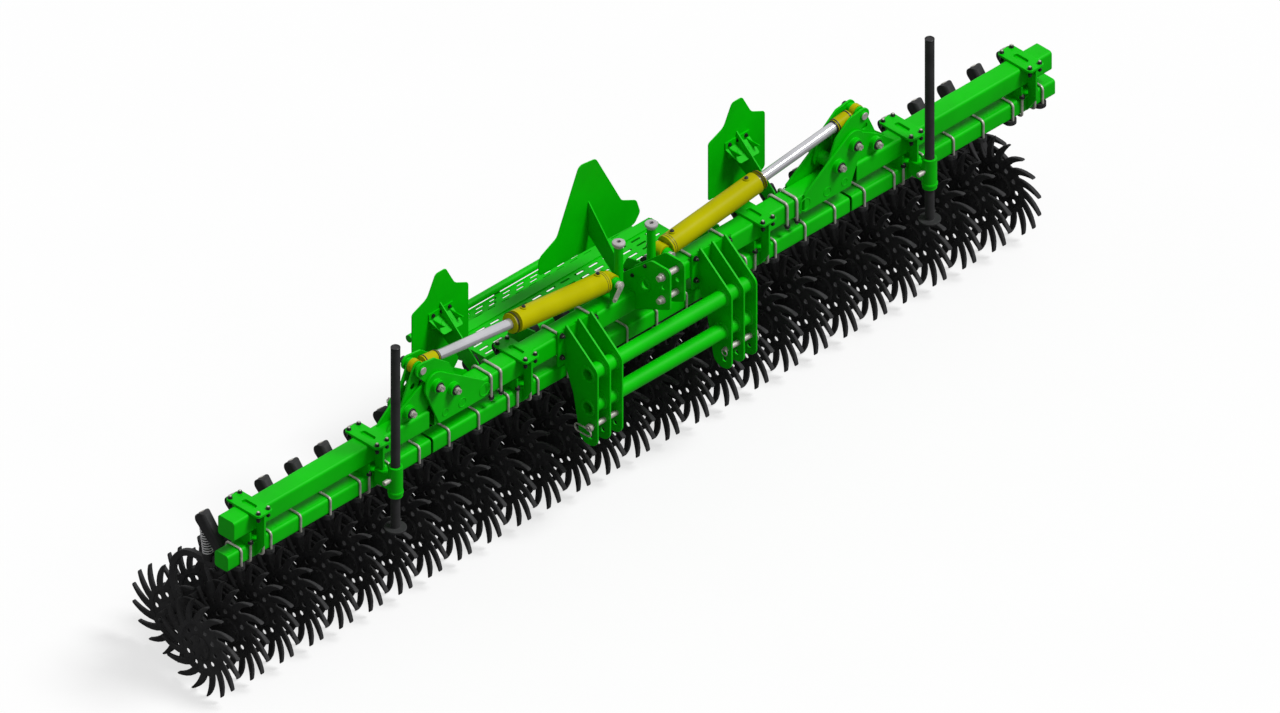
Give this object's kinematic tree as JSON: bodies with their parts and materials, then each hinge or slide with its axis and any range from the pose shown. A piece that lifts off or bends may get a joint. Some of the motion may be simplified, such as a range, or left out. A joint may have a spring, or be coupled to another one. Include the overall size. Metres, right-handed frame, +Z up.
{
  "type": "folding rotary hoe",
  "caption": "Tractor-mounted rotary hoe with folding wings: twin square beams, sprung sections of tined spider wheels, fold cylinders, three-point hitch and parking stands.",
  "frame": {"origin": "on the ground under the middle of the whole machine's box", "axes": "+X across the machine to its right seen from ahead of the hitch, +Y towards the rear, +Z up"},
  "size_m": [5.576, 1.0949, 1.716],
  "materials": {
    "green_paint": "gloss enamel",
    "yellow_paint": "gloss enamel",
    "black_paint": "semi-gloss",
    "spring_steel": "satin",
    "zinc": "zinc plated",
    "chrome": "polished",
    "wheel_black": "painted black",
    "buffer_rubber": "matte"
  },
  "bodies": {
    "frame": {"centre_main_beam": "green_paint", "centre_tool_beam": "green_paint", "centre_beam_clamps": "green_paint", "centre_hinge_plates": "green_paint", "hinge_pins": "zinc", "cylinder_base_lugs": "green_paint", "cylinder_base_pins": "zinc", "lower_hitch_brackets": "green_paint", "hitch_cross_tubes": "green_paint", "lower_link_pins": "zinc", "top_link_tower": "green_paint", "top_link_pins": "zinc", "buffer_posts": "green_paint", "buffer_pads": "buffer_rubber", "rear_side_boards": "green_paint", "rear_centre_board": "green_paint", "board_brackets": "green_paint", "walkway_plank": "green_paint", "step_plank": "green_paint", "walkway_supports": "green_paint", "centre_section_brackets": "black_paint", "centre_wheel_arms": "black_paint", "centre_springs": "spring_steel"},
    "left_wing": {"left_section_brackets": "black_paint", "left_wheel_arms": "black_paint", "left_springs": "spring_steel", "left_main_beam": "green_paint", "left_tool_beam": "green_paint", "left_beam_clamps": "green_paint", "left_hinge_plates": "green_paint", "left_link_pin": "zinc", "left_stand_socket": "green_paint"},
    "right_wing": {"right_section_brackets": "black_paint", "right_wheel_arms": "black_paint", "right_springs": "spring_steel", "right_main_beam": "green_paint", "right_tool_beam": "green_paint", "right_beam_clamps": "green_paint", "right_hinge_plates": "green_paint", "right_link_pin": "zinc", "right_stand_socket": "green_paint"},
    "centre_front_wheels": {"centre_front_wheels": "wheel_black"},
    "centre_rear_wheels": {"centre_rear_wheels": "wheel_black"},
    "left_front_wheels": {"left_front_wheels": "wheel_black"},
    "left_rear_wheels": {"left_rear_wheels": "wheel_black"},
    "right_front_wheels": {"right_front_wheels": "wheel_black"},
    "right_rear_wheels": {"right_rear_wheels": "wheel_black"},
    "right_parking_stand": {"right_parking_stand": "black_paint"},
    "left_parking_stand": {"left_parking_stand": "black_paint"},
    "right_fold_lever": {"right_fold_lever": "green_paint"},
    "left_fold_lever": {"left_fold_lever": "green_paint"},
    "right_fold_link": {"right_fold_link": "green_paint"},
    "left_fold_link": {"left_fold_link": "green_paint"},
    "right_cylinder_barrel": {"right_cylinder_barrel": "yellow_paint"},
    "left_cylinder_barrel": {"left_cylinder_barrel": "yellow_paint"},
    "right_cylinder_rod": {"right_cylinder_rod": "chrome", "right_rod_end": "yellow_paint"},
    "left_cylinder_rod": {"left_cylinder_rod": "chrome", "left_rod_end": "yellow_paint"}
  },
  "joints": [
    {"name": "centre_front_wheels_spin", "type": "hinge", "parent": "frame", "child": "centre_front_wheels", "pos_m": [-1.3, -0.083, 0.25802], "axis": [1, 0, 0], "continuous": true},
    {"name": "centre_rear_wheels_spin", "type": "hinge", "parent": "frame", "child": "centre_rear_wheels", "pos_m": [-1.3, 0.212, 0.25802], "axis": [1, 0, 0], "continuous": true},
    {"name": "left_front_wheels_spin", "type": "hinge", "parent": "left_wing", "child": "left_front_wheels", "pos_m": [-2.7, -0.083, 0.25802], "axis": [1, 0, 0], "continuous": true},
    {"name": "left_rear_wheels_spin", "type": "hinge", "parent": "left_wing", "child": "left_rear_wheels", "pos_m": [-2.7, 0.212, 0.25802], "axis": [1, 0, 0], "continuous": true},
    {"name": "right_front_wheels_spin", "type": "hinge", "parent": "right_wing", "child": "right_front_wheels", "pos_m": [1.5, -0.083, 0.25802], "axis": [1, 0, 0], "continuous": true},
    {"name": "right_rear_wheels_spin", "type": "hinge", "parent": "right_wing", "child": "right_rear_wheels", "pos_m": [1.5, 0.212, 0.25802], "axis": [1, 0, 0], "continuous": true},
    {"name": "right_fold", "type": "hinge", "parent": "frame", "child": "right_wing", "pos_m": [1.409, -0.26, 1.24], "axis": [0, -1, 0], "range_deg": [0, 179.1]},
    {"name": "right_lever", "type": "hinge", "parent": "frame", "child": "right_fold_lever", "pos_m": [1.298, -0.26, 1.169], "axis": [0, -1, 0], "range_deg": [-0.05, 117.39]},
    {"name": "right_link", "type": "hinge", "parent": "right_wing", "child": "right_fold_link", "pos_m": [1.571, -0.26, 1.155], "axis": [0, -1, 0], "range_deg": [-90.95, 0.05]},
    {"name": "right_barrel_swing", "type": "hinge", "parent": "frame", "child": "right_cylinder_barrel", "pos_m": [0.173, -0.26, 1.204], "axis": [0, -1, 0], "range_deg": [-3.64, 0.05]},
    {"name": "right_rod_slide", "type": "slide", "parent": "right_cylinder_barrel", "child": "right_cylinder_rod", "axis": [0.9932, 0, 0.1163], "range_m": [-0.45337, 0.0005]},
    {"name": "right_stand_slide", "type": "slide", "parent": "right_wing", "child": "right_parking_stand", "axis": [0, 0, 1], "range_m": [-0.655, 0]},
    {"name": "left_fold", "type": "hinge", "parent": "frame", "child": "left_wing", "pos_m": [-1.409, -0.26, 1.24], "axis": [0, 1, 0], "range_deg": [0, 179.1]},
    {"name": "left_lever", "type": "hinge", "parent": "frame", "child": "left_fold_lever", "pos_m": [-1.298, -0.26, 1.169], "axis": [0, 1, 0], "range_deg": [-0.05, 117.39]},
    {"name": "left_link", "type": "hinge", "parent": "left_wing", "child": "left_fold_link", "pos_m": [-1.571, -0.26, 1.155], "axis": [0, 1, 0], "range_deg": [-90.95, 0.05]},
    {"name": "left_barrel_swing", "type": "hinge", "parent": "frame", "child": "left_cylinder_barrel", "pos_m": [-0.173, -0.26, 1.204], "axis": [0, 1, 0], "range_deg": [-3.64, 0.05]},
    {"name": "left_rod_slide", "type": "slide", "parent": "left_cylinder_barrel", "child": "left_cylinder_rod", "axis": [-0.9932, 0, 0.1163], "range_m": [-0.45337, 0.0005]},
    {"name": "left_stand_slide", "type": "slide", "parent": "left_wing", "child": "left_parking_stand", "axis": [0, 0, 1], "range_m": [-0.655, 0]}
  ],
  "couplings": [
    {"joint": "right_lever", "follows": "right_fold", "ratio": 0.65519},
    {"joint": "right_link", "follows": "right_fold", "ratio": -0.50755},
    {"joint": "right_barrel_swing", "follows": "right_fold", "ratio": -0.020041},
    {"joint": "right_rod_slide", "follows": "right_fold", "m_per_rad": -0.14488},
    {"joint": "left_lever", "follows": "left_fold", "ratio": 0.65519},
    {"joint": "left_link", "follows": "left_fold", "ratio": -0.50755},
    {"joint": "left_barrel_swing", "follows": "left_fold", "ratio": -0.020041},
    {"joint": "left_rod_slide", "follows": "left_fold", "m_per_rad": -0.14488}
  ]
}
